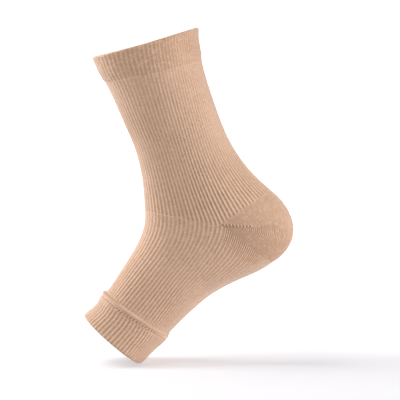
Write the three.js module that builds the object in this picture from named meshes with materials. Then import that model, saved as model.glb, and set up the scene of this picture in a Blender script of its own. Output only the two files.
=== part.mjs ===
// Ankle support sock, an open-ended ribbed knit sleeve.
// Millimetres. +Z is up, +X is towards the heel, and the sock is mirrored about Y = 0.
// The origin is the inside of the heel pocket at the gore line.
import * as THREE from 'three';

// Sizes, all reached from the gore apex, where leg, foot and heel pocket meet on each side
const LEG_LENGTH = 156.3;
const LEG_LEAN = 23.1;
const TOP_DEPTH = 88;
const TOP_WIDTH = 82;
const TOP_TILT = 15.9;
const CUFF_LENGTH = 27.5;
const ANKLE_DEPTH = 62.5;
const ANKLE_RISE = 8.75;
const ANKLE_WIDTH = 66;
const HEEL_REACH = 58;
const HEEL_SPREAD = 72.2;
const HEEL_TILT = 2.6;
const FOOT_LENGTH = 128.6;
const FOOT_DROP = 46.9;
const TOE_DEPTH = 60;
const TOE_WIDTH = 84;
const TOE_TILT = 40;
const TOE_CUFF_LENGTH = 27.8;
const SEAM_WIDTH = 7.2;
const SEAM_RISE = 2.2;

// Knit
const KNIT_WALL = 1.5;
const RIB_DEPTH = 0.7;
const CUFF_RISE = 0.5;
const HEM_EXTRA = 0.7;
const RIB_COUNT = 80;
const APEX_RIB = 22;
const GAP = 0.36;

// The leg from the top rim (at 0) to the ankle line (at 1).
// front, back: how far the outline stands out from its chord, as a share of the chord.
// wide: half width against an even taper. bend: how far the widest line has turned to the apex.
// frontPower, backPower: 2 is round, less is pointed, more is square.
const LEG = {
  columns: ['at', 'front', 'back', 'wide', 'bend', 'frontPower', 'backPower'],
  rows: [
    [0.00, 0.0000, 0.0000, 1.000, 0.04, 2.00, 2.00],
    [0.05, -0.0055, -0.0215, 0.990, 0.03, 2.00, 2.00],
    [0.10, -0.0105, -0.0355, 0.980, 0.03, 2.00, 2.00],
    [0.20, -0.0303, -0.0615, 0.940, 0.03, 2.00, 2.00],
    [0.30, -0.0425, -0.0767, 0.895, 0.05, 2.00, 2.00],
    [0.45, -0.0545, -0.0917, 0.845, 0.11, 2.00, 1.95],
    [0.60, -0.0660, -0.0995, 0.835, 0.22, 2.00, 1.90],
    [0.70, -0.0620, -0.0931, 0.860, 0.34, 2.00, 1.88],
    [0.80, -0.0495, -0.0755, 0.910, 0.52, 2.00, 1.92],
    [0.90, -0.0275, -0.0442, 0.960, 0.76, 2.00, 2.00],
    [1.00, 0.0000, 0.0000, 1.000, 1.00, 2.00, 2.10],
  ],
};

// The foot from the ankle line (at 0) to the toe rim (at 1). Front is the instep, back is the sole.
const FOOT = {
  columns: ['at', 'front', 'back', 'wide', 'bend', 'frontPower', 'backPower'],
  rows: [
    [0.00, 0.0000, 0.0000, 1.000, 1.00, 2.00, 2.60],
    [0.05, -0.0300, -0.0030, 0.995, 0.90, 2.00, 2.60],
    [0.12, -0.0600, -0.0150, 0.985, 0.74, 2.00, 2.60],
    [0.20, -0.0780, -0.0355, 0.975, 0.58, 2.00, 2.60],
    [0.30, -0.0865, -0.0573, 0.965, 0.40, 2.00, 2.55],
    [0.42, -0.0840, -0.0722, 0.955, 0.24, 2.05, 2.50],
    [0.55, -0.0795, -0.0673, 0.955, 0.12, 2.10, 2.50],
    [0.68, -0.0720, -0.0537, 0.960, 0.04, 2.15, 2.45],
    [0.75, -0.0590, -0.0410, 0.966, 0.01, 2.18, 2.42],
    [0.80, -0.0455, -0.0228, 0.972, 0.00, 2.20, 2.40],
    [0.86, -0.0488, -0.0193, 0.978, 0.00, 2.20, 2.40],
    [0.92, -0.0330, -0.0138, 0.985, 0.00, 2.20, 2.40],
    [0.96, -0.0171, -0.0065, 0.990, 0.00, 2.20, 2.40],
    [1.00, -0.0060, -0.0030, 1.000, 0.00, 2.20, 2.40],
  ],
};

// The heel pocket from its top edge (at 0) over the gore line (at 0.5) to its lower edge (at 1)
const HEEL = {
  columns: ['at', 'reach', 'backPower'],
  rows: [
    [0.00, 0.807, 2.10],
    [0.17, 0.872, 2.18],
    [0.33, 0.935, 2.26],
    [0.50, 0.988, 2.35],
    [0.60, 0.999, 2.40],
    [0.67, 0.996, 2.44],
    [0.83, 0.957, 2.52],
    [1.00, 0.889, 2.60],
  ],
};

// Mesh fineness
const QUARTER_STEPS = 72;
const INNER_COUNT = RIB_COUNT / 2;

const RAD = Math.PI / 180;
const SKIN = RIB_DEPTH + KNIT_WALL;
const LEG_CUFF_SHARE = CUFF_LENGTH / LEG_LENGTH;
const TOE_CUFF_START = 1 - TOE_CUFF_LENGTH / FOOT_LENGTH;
const SEAM_START = TOE_CUFF_START - SEAM_WIDTH / FOOT_LENGTH;

// Reads one column of a table at a station, along a smooth curve through its rows
function read(table, column, at) {
  const rows = table.rows;
  const c = table.columns.indexOf(column);
  let i = 0;
  while (i < rows.length - 2 && rows[i + 1][0] < at) {
    i += 1;
  }
  const slope = (k) => {
    const a = rows[Math.max(k - 1, 0)];
    const b = rows[Math.min(k + 1, rows.length - 1)];
    return (b[c] - a[c]) / (b[0] - a[0]);
  };
  const [lo, hi] = [rows[i], rows[i + 1]];
  const span = hi[0] - lo[0];
  const u = Math.min(Math.max((at - lo[0]) / span, 0), 1);
  const u2 = u * u;
  const u3 = u2 * u;
  return (2 * u3 - 3 * u2 + 1) * lo[c] + (u3 - 2 * u2 + u) * span * slope(i)
    + (3 * u2 - 2 * u3) * hi[c] + (u3 - u2) * span * slope(i + 1);
}

const mix = (a, b, t) => a + (b - a) * t;
const smooth = (a, b, x) => {
  const t = Math.min(Math.max((x - a) / (b - a), 0), 1);
  return t * t * (3 - 2 * t);
};
const flat = (x, z) => new THREE.Vector2(x, z);
const ray = (degrees) => flat(Math.cos(degrees * RAD), Math.sin(degrees * RAD));
const between = (a, b, t) => a.clone().lerp(b, t);

// Named points of the side view
const seatReach = HEEL_REACH * read(HEEL, 'reach', 0.5) - SKIN;
const APEX = ray(180 - HEEL_TILT).multiplyScalar(seatReach);
const heelRay = (angle) => ray(angle - HEEL_TILT);
const TOP_CENTRE = APEX.clone().addScaledVector(ray(90 + LEG_LEAN), LEG_LENGTH);
const TOP_FRONT = TOP_CENTRE.clone().addScaledVector(ray(TOP_TILT), -TOP_DEPTH / 2);
const TOP_BACK = TOP_CENTRE.clone().addScaledVector(ray(TOP_TILT), TOP_DEPTH / 2);
const ANKLE_FRONT = APEX.clone().addScaledVector(ray(180 - ANKLE_RISE), ANKLE_DEPTH);
const HEEL_TOP = APEX.clone().addScaledVector(heelRay(HEEL_SPREAD / 2), HEEL_REACH * read(HEEL, 'reach', 0));
const HEEL_LOW = APEX.clone().addScaledVector(heelRay(-HEEL_SPREAD / 2), HEEL_REACH * read(HEEL, 'reach', 1));
const TOE_CENTRE = APEX.clone().addScaledVector(ray(180 + FOOT_DROP), FOOT_LENGTH);
const TOE_FRONT = TOE_CENTRE.clone().addScaledVector(ray(-TOE_TILT), -TOE_DEPTH / 2);
const TOE_BACK = TOE_CENTRE.clone().addScaledVector(ray(-TOE_TILT), TOE_DEPTH / 2);

// A point of an outline: on its chord at a share, moved square to the chord
function outline(start, end, at, bulge, outward) {
  const chord = end.clone().sub(start);
  const side = flat(-chord.y, chord.x).multiplyScalar(outward * bulge);
  return between(start, end, at).add(side);
}

const ARMS = {
  leg: {
    table: LEG,
    start: [TOP_FRONT, TOP_BACK, TOP_WIDTH / 2],
    end: [ANKLE_FRONT, HEEL_TOP, ANKLE_WIDTH / 2],
    jointAt: 1,
    low: [0.5, 0.5],
    outward: [-1, 1],
  },
  foot: {
    table: FOOT,
    start: [ANKLE_FRONT, HEEL_LOW, ANKLE_WIDTH / 2],
    end: [TOE_FRONT, TOE_BACK, TOE_WIDTH / 2],
    jointAt: 0,
    low: [0.5, 0.56],
    outward: [-1, 1],
  },
};

// One course of an arm: its front, widest and back points in the side view, and its roundness
function section(name, at) {
  const arm = ARMS[name];
  const value = (column) => read(arm.table, column, at);
  const front = outline(arm.start[0], arm.end[0], at, value('front'), arm.outward[0]);
  const back = outline(arm.start[1], arm.end[1], at, value('back'), arm.outward[1]);
  const joint = arm.jointAt === 1 ? arm.end : arm.start;
  const jointLow = arm.jointAt === 1 ? arm.low[1] : arm.low[0];
  const turn = APEX.clone().sub(between(joint[0], joint[1], jointLow));
  const middle = between(front, back, mix(arm.low[0], arm.low[1], at));
  middle.addScaledVector(turn, value('bend'));
  const half = mix(arm.start[2], arm.end[2], at) * value('wide');
  const pin = Math.pow(arm.jointAt === 1 ? at : 1 - at, 4);
  return { front, middle, back, half, pin, powers: [value('frontPower'), value('backPower')] };
}

// Half a course as a fine polyline from front centre to back centre, read by share of its length
function course(shape) {
  const points = [];
  for (let i = 0; i <= QUARTER_STEPS; i += 1) {
    const angle = (Math.PI / 2) * (i / QUARTER_STEPS);
    const along = 1 - Math.pow(Math.cos(angle), 2 / shape.powers[0]);
    const out = Math.pow(Math.sin(angle), 2 / shape.powers[0]);
    const p = between(shape.front, shape.middle, i === QUARTER_STEPS ? 1 : along);
    points.push(new THREE.Vector3(p.x, shape.half * out, p.y));
  }
  for (let i = 1; i <= QUARTER_STEPS; i += 1) {
    const angle = (Math.PI / 2) * (i / QUARTER_STEPS);
    const along = Math.pow(Math.sin(angle), 2 / shape.powers[1]);
    const out = i === QUARTER_STEPS ? 0 : Math.pow(Math.cos(angle), 2 / shape.powers[1]);
    const p = between(shape.middle, shape.back, along);
    points.push(new THREE.Vector3(p.x, shape.half * out, p.y));
  }
  const lengths = [0];
  for (let i = 1; i < points.length; i += 1) {
    lengths.push(lengths[i - 1] + points[i].distanceTo(points[i - 1]));
  }
  const total = lengths[lengths.length - 1];
  const apexShare = lengths[QUARTER_STEPS] / total;
  const pinnedShare = APEX_RIB / (RIB_COUNT / 2);
  const warp = (s) => {
    const pinned = s < pinnedShare
      ? (s / pinnedShare) * apexShare
      : apexShare + ((s - pinnedShare) / (1 - pinnedShare)) * (1 - apexShare);
    return mix(s, pinned, shape.pin);
  };
  return (share) => {
    let mirror = 1;
    let s = share;
    if (s < 0) {
      s = -s;
      mirror = -1;
    }
    if (s > 1) {
      s = 2 - s;
      mirror = -1;
    }
    const wanted = warp(s) * total;
    let i = 0;
    while (i < lengths.length - 2 && lengths[i + 1] < wanted) {
      i += 1;
    }
    const p = points[i].clone().lerp(points[i + 1], (wanted - lengths[i]) / (lengths[i + 1] - lengths[i]));
    p.y *= mirror;
    return p;
  };
}

// A point of an arm's surface, sunk below the tops of the ribs by a depth
function surface(name, at) {
  const step = 0.004;
  const here = course(section(name, at));
  const before = course(section(name, Math.max(at - step, 0)));
  const after = course(section(name, Math.min(at + step, 1)));
  return (share, depth) => {
    const along = after(share).sub(before(share));
    const around = here(share + 0.004).sub(here(share - 0.004));
    const normal = new THREE.Vector3().crossVectors(around, along).normalize();
    const p = here(share);
    const outward = p.clone().sub(new THREE.Vector3(p.x, 0, p.z));
    if (outward.lengthSq() > 1 && normal.dot(outward) < 0) {
      normal.negate();
    }
    if (outward.lengthSq() <= 1) {
      const across = here(0).sub(here(1)).multiplyScalar(share < 0.5 ? 1 : -1);
      if (normal.dot(across) < 0) {
        normal.negate();
      }
    }
    return p.addScaledVector(normal, -depth);
  };
}

// A closed ring of points round an arm. depth is a number or a function of rib phase and share.
function ring(name, at, count, depth) {
  const point = surface(name, at);
  const points = [];
  for (let k = 0; k < count; k += 1) {
    const turn = (2 * k) / count;
    const share = turn <= 1 ? turn : 2 - turn;
    const sunk = typeof depth === 'number' ? depth : depth(k % 2, share);
    const p = point(share, sunk);
    if (turn > 1) {
      p.y *= -1;
    }
    if (share === 0 || share === 1) {
      p.y = 0;
    }
    points.push(p);
  }
  return points;
}

// How deep a rib is at a share of the way from front to back
const ribs = (base, plainFrom, plainFull) => (phase, share) =>
  base + (phase === 1 ? 1 : 0.5 * smooth(plainFrom, plainFull, share))
  * RIB_DEPTH * (phase === 1 ? 1 - 0.5 * smooth(plainFrom, plainFull, share) : 1);

// Joins rings into one closed skin. Neighbouring rings have equal counts, or one has a whole multiple.
function loft(rings, closed) {
  const points = [];
  const starts = rings.map((r) => {
    points.push(...r);
    return points.length - r.length;
  });
  const faces = [];
  const pairs = closed ? rings.length : rings.length - 1;
  for (let i = 0; i < pairs; i += 1) {
    const j = (i + 1) % rings.length;
    const [na, nb] = [rings[i].length, rings[j].length];
    const low = Math.min(na, nb);
    const [ra, rb] = [na / low, nb / low];
    for (let k = 0; k < low; k += 1) {
      const a = (s) => starts[i] + ((k * ra + s) % na);
      const b = (s) => starts[j] + ((k * rb + s) % nb);
      if (ra === 1 && rb === 1) {
        faces.push([a(0), b(0), b(1)], [a(0), b(1), a(1)]);
      } else if (rb === 1) {
        const turn = Math.floor(ra / 2);
        for (let s = 0; s < turn; s += 1) {
          faces.push([a(s), b(0), a(s + 1)]);
        }
        faces.push([a(turn), b(0), b(1)]);
        for (let s = turn; s < ra; s += 1) {
          faces.push([a(s), b(1), a(s + 1)]);
        }
      } else {
        const turn = Math.floor(rb / 2);
        for (let s = 0; s < turn; s += 1) {
          faces.push([a(0), b(s), b(s + 1)]);
        }
        faces.push([a(0), b(turn), a(1)]);
        for (let s = turn; s < rb; s += 1) {
          faces.push([a(1), b(s), b(s + 1)]);
        }
      }
    }
  }
  return solid(points, faces);
}

// A geometry from points and triangles, turned so that its faces look out
function solid(points, faces) {
  let volume = 0;
  faces.forEach(([a, b, c]) => {
    volume += points[a].dot(new THREE.Vector3().crossVectors(points[b], points[c]));
  });
  const index = faces.flatMap(([a, b, c]) => (volume < 0 ? [a, c, b] : [a, b, c]));
  const geometry = new THREE.BufferGeometry();
  geometry.setAttribute('position', new THREE.Float32BufferAttribute(points.flatMap((p) => p.toArray()), 3));
  geometry.setIndex(index);
  geometry.computeVertexNormals();
  return geometry;
}

// Evenly spaced stations between two ends
const stations = (from, to, bands) => Array.from({ length: bands + 1 }, (_, i) => mix(from, to, i / bands));

// A ribbed tube between two stations of an arm
function ribbedTube(name, from, to, bands, outerDepth) {
  const outer = stations(from, to, bands).map((at) => ring(name, at, 2 * RIB_COUNT, outerDepth));
  const inner = stations(to, from, bands).map((at) => ring(name, at, INNER_COUNT, SKIN));
  return loft([...outer, ...inner], true);
}

// A doubled hem from its plain edge to the folded rim, where rimAt is 0 or 1
function hem(name, edgeAt, rimAt, length, outerDepth, bands) {
  const thick = SKIN + HEM_EXTRA + CUFF_RISE;
  const fold = thick / 2;
  const inward = (distance) => rimAt + (rimAt === 0 ? 1 : -1) * (distance / length);
  const sunk = (extra) => (phase, share) => outerDepth(phase, share) + extra;
  const outer = stations(edgeAt, inward(fold), bands);
  const inner = stations(inward(fold), edgeAt, bands);
  return loft([
    ...outer.map((at) => ring(name, at, 2 * RIB_COUNT, sunk(0))),
    ring(name, inward(fold * 0.3), 2 * RIB_COUNT, sunk(fold * 0.3)),
    ring(name, inward(0), INNER_COUNT, -CUFF_RISE + fold + RIB_DEPTH / 2),
    ring(name, inward(fold * 0.3), INNER_COUNT, -CUFF_RISE + thick - fold * 0.2),
    ...inner.map((at) => ring(name, at, INNER_COUNT, -CUFF_RISE + thick)),
  ], true);
}

// The welt at the toe seam, highest over the instep
function welt() {
  const around = 48;
  const rise = (share) => -SEAM_RISE * (1 - 0.75 * smooth(0.1, 0.9, share));
  const profile = [
    [0, () => SKIN],
    [0, () => RIB_DEPTH * 0.4],
    [0.34, (share) => rise(share)],
    [0.8, (share) => rise(share)],
    [1, () => RIB_DEPTH * 0.4],
    [1, () => SKIN],
  ];
  const edge = GAP / 2 / FOOT_LENGTH;
  return loft(profile.map(([across, depth]) => {
    const at = mix(SEAM_START + edge, TOE_CUFF_START - edge, across);
    return ring('foot', at, around, (phase, share) => depth(share));
  }), true);
}

// The heel pocket, a fan of courses about the gore apex
function heelPocket() {
  const rows = 10;
  const across = 32;
  const tip = 1;
  const setback = GAP / 2 / Math.sin((HEEL_SPREAD / 2) * RAD);
  const hub = APEX.clone().addScaledVector(heelRay(0), setback);
  const arc = (at) => {
    const angle = (HEEL_SPREAD / 2) * (1 - 2 * at);
    const reach = HEEL_REACH * read(HEEL, 'reach', at) - setback * Math.cos(angle * RAD);
    const back = hub.clone().addScaledVector(heelRay(angle), reach);
    const power = read(HEEL, 'backPower', at);
    const points = [];
    const steps = 2 * QUARTER_STEPS;
    for (let i = 0; i <= steps; i += 1) {
      const turn = (Math.PI / 2) * (i / steps);
      const p = between(hub, back, Math.pow(Math.sin(turn), 2 / power));
      const out = i === steps ? 0 : Math.pow(Math.cos(turn), 2 / power);
      points.push(new THREE.Vector3(p.x, (ANKLE_WIDTH / 2) * out, p.y));
    }
    const lengths = [0];
    for (let i = 1; i < points.length; i += 1) {
      lengths.push(lengths[i - 1] + points[i].distanceTo(points[i - 1]));
    }
    const total = lengths[steps];
    return (share) => {
      const wanted = mix(tip, total, share <= 1 ? share : 2 - share);
      let i = 0;
      while (i < steps - 1 && lengths[i + 1] < wanted) {
        i += 1;
      }
      const p = points[i].clone().lerp(points[i + 1], (wanted - lengths[i]) / (lengths[i + 1] - lengths[i]));
      if (share > 1) {
        p.y *= -1;
      }
      return p;
    };
  };
  const layer = (depth) => {
    const grid = [];
    for (let i = 0; i <= rows; i += 1) {
      const at = i / rows;
      const step = 0.01;
      const here = arc(at);
      const before = arc(Math.max(at - step, 0));
      const after = arc(Math.min(at + step, 1));
      for (let k = 0; k <= across; k += 1) {
        const share = (2 * k) / across;
        const near = Math.max(share - 0.01, 0);
        const far = Math.min(share + 0.01, 2);
        const around = here(far).sub(here(near));
        const along = after(share).sub(before(share));
        const normal = new THREE.Vector3().crossVectors(around, along).normalize();
        const p = here(share);
        const outward = p.clone().sub(new THREE.Vector3(hub.x, 0, hub.y));
        if (normal.dot(outward) < 0) {
          normal.negate();
        }
        grid.push(p.addScaledVector(normal, -depth));
      }
    }
    return grid;
  };
  const points = [...layer(RIB_DEPTH * 0.4), ...layer(SKIN)];
  const wide = across + 1;
  const offset = wide * (rows + 1);
  const faces = [];
  const quad = (a, b, c, d) => faces.push([a, b, c], [a, c, d]);
  for (let i = 0; i < rows; i += 1) {
    for (let k = 0; k < across; k += 1) {
      const a = i * wide + k;
      quad(a, a + 1, a + 1 + wide, a + wide);
      quad(a + offset, a + wide + offset, a + 1 + wide + offset, a + 1 + offset);
    }
    const [left, right] = [i * wide, i * wide + across];
    quad(left, left + wide, left + wide + offset, left + offset);
    quad(right, right + offset, right + wide + offset, right + wide);
  }
  for (let k = 0; k < across; k += 1) {
    const [top, low] = [k, rows * wide + k];
    quad(top, top + offset, top + 1 + offset, top + 1);
    quad(low, low + 1, low + 1 + offset, low + offset);
  }
  return solid(points, faces);
}

const group = new THREE.Group();
group.name = 'ankle_support_sock';

function add(name, geometry, color, roughness) {
  const material = new THREE.MeshStandardMaterial({ color, roughness, metalness: 0 });
  material.name = name;
  const mesh = new THREE.Mesh(geometry, material);
  mesh.name = name;
  group.add(mesh);
}

const legEdge = GAP / 2 / LEG_LENGTH;
const footEdge = GAP / 2 / FOOT_LENGTH;
const allRound = ribs(0, 2, 3);
const plainSole = ribs(0, 0.62, 0.74);
const proud = (phase, share) => -CUFF_RISE + allRound(phase, share);
const toeRibs = (phase, share) => -CUFF_RISE + ribs(0, 0.74, 0.84)(phase, share);

add('top_cuff', hem('leg', LEG_CUFF_SHARE - legEdge, 0, LEG_LENGTH, proud, 2), '#c49e80', 0.92);
add('leg_tube', ribbedTube('leg', LEG_CUFF_SHARE + legEdge, 1 - legEdge, 7, allRound), '#caa488', 0.93);
add('heel_pocket', heelPocket(), '#cba689', 0.92);
add('foot_tube', ribbedTube('foot', footEdge, SEAM_START - footEdge, 7, plainSole), '#c6a083', 0.93);
add('toe_seam', welt(), '#d8b497', 0.9);
add('toe_cuff', hem('foot', TOE_CUFF_START + footEdge, 1, FOOT_LENGTH, toeRibs, 2), '#c8a284', 0.93);

export default group;
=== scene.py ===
"""Ankle support sock: ribbed knit, plain heel pocket, seam and stitches, with camera, floor and light."""

import math

import bpy
import numpy as np
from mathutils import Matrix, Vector


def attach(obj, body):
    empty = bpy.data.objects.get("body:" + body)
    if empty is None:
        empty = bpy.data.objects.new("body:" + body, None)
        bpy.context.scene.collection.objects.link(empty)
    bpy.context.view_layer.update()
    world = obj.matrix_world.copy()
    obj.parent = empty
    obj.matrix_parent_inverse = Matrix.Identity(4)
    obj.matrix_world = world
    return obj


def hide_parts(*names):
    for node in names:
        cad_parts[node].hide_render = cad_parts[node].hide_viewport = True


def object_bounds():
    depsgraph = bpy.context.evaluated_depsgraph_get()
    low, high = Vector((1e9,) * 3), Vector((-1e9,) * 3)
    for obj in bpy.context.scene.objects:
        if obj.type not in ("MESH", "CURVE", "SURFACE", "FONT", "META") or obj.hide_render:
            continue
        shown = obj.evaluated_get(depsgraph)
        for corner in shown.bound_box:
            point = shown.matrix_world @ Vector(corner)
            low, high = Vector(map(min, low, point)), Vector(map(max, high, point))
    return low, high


bl_info = {
    "name": "Ankle support sock",
    "version": (1, 0, 0),
    "blender": (4, 5, 0),
    "location": "View3D > Sidebar > Sock",
    "description": "Builds the knit of an ankle support sock over its solids",
    "category": "Object",
}

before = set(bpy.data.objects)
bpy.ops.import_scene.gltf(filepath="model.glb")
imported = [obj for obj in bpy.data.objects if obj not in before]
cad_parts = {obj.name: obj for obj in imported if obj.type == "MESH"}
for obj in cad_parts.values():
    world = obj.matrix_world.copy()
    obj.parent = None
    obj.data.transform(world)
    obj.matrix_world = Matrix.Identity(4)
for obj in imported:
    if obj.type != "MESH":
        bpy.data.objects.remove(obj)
SOLID_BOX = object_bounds()
TURN = 2 * math.pi

# The knit that one height of the UV map stands for, and how much of the rib relief the inside shows.
LENGTH_OF_MAP = 0.2
INNER_RELIEF = 0.6


# Section tables. Each row is one course of knit, and lengths are shares of the named sizes.


class Table:
    """A short table with named columns, read along a smooth curve through its rows."""

    def __init__(self, columns, rows):
        self.columns = columns.split()
        self.rows = np.array(rows.split(), float).reshape(-1, len(self.columns))

    def read(self, column, at):
        """The column's value at a station between the first row's and the last row's."""
        x, y = self.rows[:, [0, self.columns.index(column)]].T
        wide_x, wide_y = np.pad(x, 1, mode="edge"), np.pad(y, 1, mode="edge")
        slope = (wide_y[2:] - wide_y[:-2]) / (wide_x[2:] - wide_x[:-2])
        i = int(np.clip(np.searchsorted(x, at) - 1, 0, len(x) - 2))
        span = x[i + 1] - x[i]
        u = min(max((at - x[i]) / span, 0.0), 1.0)
        return float(
            (2 * u**3 - 3 * u**2 + 1) * y[i]
            + (u**3 - 2 * u**2 + u) * span * slope[i]
            + (3 * u**2 - 2 * u**3) * y[i + 1]
            + (u**3 - u**2) * span * slope[i + 1]
        )


LEG = Table(
    "at front back wide bend front_power back_power",
    """
    0.00  0.0000  0.0000 1.000 0.04 2.00 2.00
    0.05 -0.0055 -0.0215 0.990 0.03 2.00 2.00
    0.10 -0.0105 -0.0355 0.980 0.03 2.00 2.00
    0.20 -0.0303 -0.0615 0.940 0.03 2.00 2.00
    0.30 -0.0425 -0.0767 0.895 0.05 2.00 2.00
    0.45 -0.0545 -0.0917 0.845 0.11 2.00 1.95
    0.60 -0.0660 -0.0995 0.835 0.22 2.00 1.90
    0.70 -0.0620 -0.0931 0.860 0.34 2.00 1.88
    0.80 -0.0495 -0.0755 0.910 0.52 2.00 1.92
    0.90 -0.0275 -0.0442 0.960 0.76 2.00 2.00
    1.00  0.0000  0.0000 1.000 1.00 2.00 2.10
    """,
)
FOOT = Table(
    "at front back wide bend front_power back_power",
    """
    0.00  0.0000  0.0000 1.000 1.00 2.00 2.60
    0.05 -0.0300 -0.0030 0.995 0.90 2.00 2.60
    0.12 -0.0600 -0.0150 0.985 0.74 2.00 2.60
    0.20 -0.0780 -0.0355 0.975 0.58 2.00 2.60
    0.30 -0.0865 -0.0573 0.965 0.40 2.00 2.55
    0.42 -0.0840 -0.0722 0.955 0.24 2.05 2.50
    0.55 -0.0795 -0.0673 0.955 0.12 2.10 2.50
    0.68 -0.0720 -0.0537 0.960 0.04 2.15 2.45
    0.75 -0.0590 -0.0410 0.966 0.01 2.18 2.42
    0.80 -0.0455 -0.0228 0.972 0.00 2.20 2.40
    0.86 -0.0488 -0.0193 0.978 0.00 2.20 2.40
    0.92 -0.0330 -0.0138 0.985 0.00 2.20 2.40
    0.96 -0.0171 -0.0065 0.990 0.00 2.20 2.40
    1.00 -0.0060 -0.0030 1.000 0.00 2.20 2.40
    """,
)
HEEL = Table(
    "at reach back_power",
    """
    0.00 0.807 2.10
    0.17 0.872 2.18
    0.33 0.935 2.26
    0.50 0.988 2.35
    0.60 0.999 2.40
    0.67 0.996 2.44
    0.83 0.957 2.52
    1.00 0.889 2.60
    """,
)

# How the ribs drift from even spacing, wider at the front by spread and turned by skew, as shares of
# a course, and how strongly they stand out, in relief and in painted light and shade, at the front, middle
# and back of each side.
LEG_RIBS = Table(
    "at spread skew front middle back",
    """
    0.00 0.111 0.017 0.36 0.26 0.14
    0.35 0.073 0.012 0.62 0.42 0.20
    0.52 0.060 0.013 0.68 0.52 0.22
    0.70 0.050 0.016 0.55 0.73 0.32
    0.86 0.050 0.018 0.58 0.95 0.85
    1.00 0.055 0.020 0.60 0.90 0.90
    """,
)
FOOT_RIBS = Table(
    "at spread skew front middle back",
    """
    0.00 0.064 0.008 0.40 0.56 0.42
    0.30 0.079 0.017 0.62 0.42 0.36
    0.55 0.092 0.016 0.72 0.58 0.36
    0.78 0.108 0.012 0.60 0.72 0.42
    1.00 0.127 0.007 0.88 0.60 0.38
    """,
)


# Sizes and colours that a user may change


def property_maker(kind, **shared):
    """Makes properties that share their limits and unit, each with its name, description and default."""

    def made(name, description, default):
        return kind(name=name, description=description, default=default, **shared)

    return made


Length = property_maker(bpy.props.FloatProperty, min=0.0001, subtype="DISTANCE", unit="LENGTH")
Angle = property_maker(bpy.props.FloatProperty, subtype="ANGLE", unit="ROTATION")
Power = property_maker(bpy.props.FloatProperty, min=0, unit="POWER")
Glow = property_maker(bpy.props.FloatProperty, min=0)
Share = property_maker(bpy.props.FloatProperty, min=0, max=1, subtype="FACTOR")
Count = property_maker(bpy.props.IntProperty, min=4)
Colour = property_maker(bpy.props.FloatVectorProperty, min=0, max=1, size=3, subtype="COLOR")


class SockForm(bpy.types.PropertyGroup):
    """Sizes of the sock's form, reached from the gore apex on its side"""

    leg_length: Length("Leg length", "From the gore apex to the middle of the top rim", 0.1563)
    leg_lean: Angle("Leg lean", "How far the leg leans towards the toes", math.radians(23.1))
    top_depth: Length("Top depth", "Front to back across the top rim", 0.088)
    top_width: Length("Top width", "Side to side across the top rim", 0.082)
    top_tilt: Angle("Top tilt", "Slope of the top rim, up towards the back", math.radians(15.9))
    cuff_length: Length("Cuff length", "Depth of the doubled hem at the top", 0.0275)
    ankle_depth: Length("Ankle depth", "From the gore apex to the front crease", 0.0625)
    ankle_rise: Angle("Ankle rise", "Slope of the ankle line, up to the crease", math.radians(8.75))
    ankle_width: Length("Ankle width", "Side to side across the ankle", 0.066)
    heel_reach: Length("Heel reach", "From the gore apex to the back of the heel", 0.058)
    heel_spread: Angle("Heel spread", "Angle between the heel pocket's edges", math.radians(72.2))
    heel_tilt: Angle("Heel tilt", "How far the gore line drops towards the back", math.radians(2.6))
    foot_length: Length("Foot length", "From the gore apex to the middle of the toe rim", 0.1286)
    foot_drop: Angle("Foot drop", "How far the foot points down", math.radians(46.9))
    toe_depth: Length("Toe depth", "Instep to sole across the toe rim", 0.06)
    toe_width: Length("Toe width", "Side to side across the toe rim", 0.084)
    toe_tilt: Angle("Toe tilt", "Slope of the toe rim", math.radians(40))
    toe_cuff_length: Length("Toe cuff length", "From the toe seam to the toe rim", 0.0278)
    seam_width: Length("Seam width", "Width of the raised toe seam", 0.0072)
    seam_rise: Length("Seam rise", "Height of the toe seam over the instep", 0.0022)


class SockKnit(bpy.types.PropertyGroup):
    """Sizes of the knit"""

    rib_count: Count("Ribs", "Ribs round the sock", 80)
    apex_rib: Count("Apex rib", "Rib that runs through the gore apex, from the front", 21)
    columns_per_rib: Count("Columns", "Mesh columns across each rib", 8)
    rib_depth: Length("Rib depth", "From the top of a rib to the furrow beside it", 0.0007)
    wall: Length("Wall", "Thickness of the knit under the ribs", 0.0015)
    cuff_rise: Length("Cuff rise", "How far the doubled hems stand proud", 0.0005)
    hem_extra: Length("Hem extra", "Extra thickness of the doubled hems", 0.0007)
    course_height: Length("Course height", "Height of one row of loops", 0.00115)
    heel_columns: Length("Heel columns", "Width of a pair of columns on the heel", 0.0033)
    hole_pitch: Length("Hole pitch", "From one fashioning hole to the next", 0.0026)


class SockColours(bpy.types.PropertyGroup):
    """Colours of the yarn"""

    # The rib colour is the yarn with painted light on the rib tops, and the furrow colour is the yarn with
    # painted shade between the ribs.
    crest: Colour("Rib", "Yarn on top of the ribs", (0.72, 0.50, 0.369))
    furrow: Colour("Furrow", "Yarn between the ribs", (0.433, 0.257, 0.155))
    seam: Colour("Seam", "Stitches of the toe seam and the gore line", (0.78, 0.55, 0.41))
    hole: Colour("Hole", "Shade inside the small fashioning holes", (0.31, 0.18, 0.12))
    hem_shade: Share("Hem shade", "How much nearer to the furrow colour the top hem is", 0.20)
    heel_shade: Share("Heel shade", "How much nearer to the furrow colour the heel pocket is", 0.13)
    flecks: Share("Flecks", "How much paler the palest loops are", 0.2)
    hem_flecks: Share("Hem flecks", "How much paler the palest loops of the top hem are", 0.28)


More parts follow.
